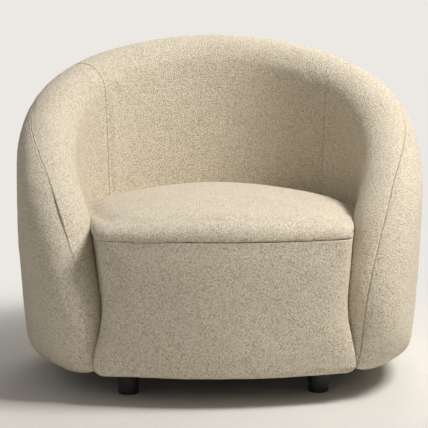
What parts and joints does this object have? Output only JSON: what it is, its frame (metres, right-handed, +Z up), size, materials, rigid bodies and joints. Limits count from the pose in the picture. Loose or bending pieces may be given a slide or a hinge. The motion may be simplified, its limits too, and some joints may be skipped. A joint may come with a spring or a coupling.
{
  "type": "tub chair",
  "caption": "Upholstered tub chair: one padded wall wraps a fixed seat from arm to arm, with a padded front apron and short round feet.",
  "frame": {"origin": "on the floor under the middle of the chair, between the arms", "axes": "+Z up, +X to the right seen from the front, the open front faces -Y"},
  "size_m": [0.8572, 0.7975, 0.715],
  "materials": {
    "boucle": "cream looped wool-blend boucle, matt, nubby",
    "foam": "cut polyurethane foam, pale yellow",
    "wadding": "white polyester wadding",
    "lining_board": "brown upholstery board",
    "timber": "unfinished plywood",
    "webbing": "black woven elastic webbing",
    "underlining": "black non-woven dust cloth",
    "foot_black": "turned wood, black satin lacquer",
    "steel": "zinc-plated steel"
  },
  "bodies": {
    "root": {"outside_arm_cover_left": "boucle", "outside_back_cover": "boucle", "outside_arm_cover_right": "boucle", "inside_arm_cover_left": "boucle", "inside_back_cover": "boucle", "inside_arm_cover_right": "boucle", "outside_arm_wadding_left": "wadding", "outside_back_wadding": "wadding", "outside_arm_wadding_right": "wadding", "inside_arm_foam_left": "foam", "inside_back_foam": "foam", "inside_arm_foam_right": "foam", "top_rail_left": "timber", "top_rail_back": "timber", "top_rail_right": "timber", "base_ring_left": "timber", "base_ring_back": "timber", "base_ring_right": "timber", "seat_rail_left": "timber", "seat_rail_back": "timber", "seat_rail_right": "timber", "outside_liner": "lining_board", "inside_liner": "lining_board", "post_arm_front_right": "timber", "post_arm_front_left": "timber", "post_arm_right": "timber", "post_arm_left": "timber", "post_back_right": "timber", "post_back_left": "timber", "post_back_middle": "timber", "front_cross_rail": "timber", "back_cross_rail": "timber", "stretcher_left": "timber", "stretcher_right": "timber", "front_board": "timber", "long_strap_1": "webbing", "long_strap_2": "webbing", "long_strap_3": "webbing", "long_strap_4": "webbing", "front_cross_strap": "webbing", "back_cross_strap": "webbing", "seat_foam": "foam", "seat_top_cover": "boucle", "front_apron_foam": "foam", "front_apron_cover": "boucle", "dust_cover": "underlining", "foot_front_left": "foot_black", "foot_stud_front_left": "steel", "tee_nut_front_left": "steel", "foot_front_right": "foot_black", "foot_stud_front_right": "steel", "tee_nut_front_right": "steel", "foot_back_left": "foot_black", "foot_stud_back_left": "steel", "tee_nut_back_left": "steel", "foot_back_right": "foot_black", "foot_stud_back_right": "steel", "tee_nut_back_right": "steel"}
  },
  "joints": []
}
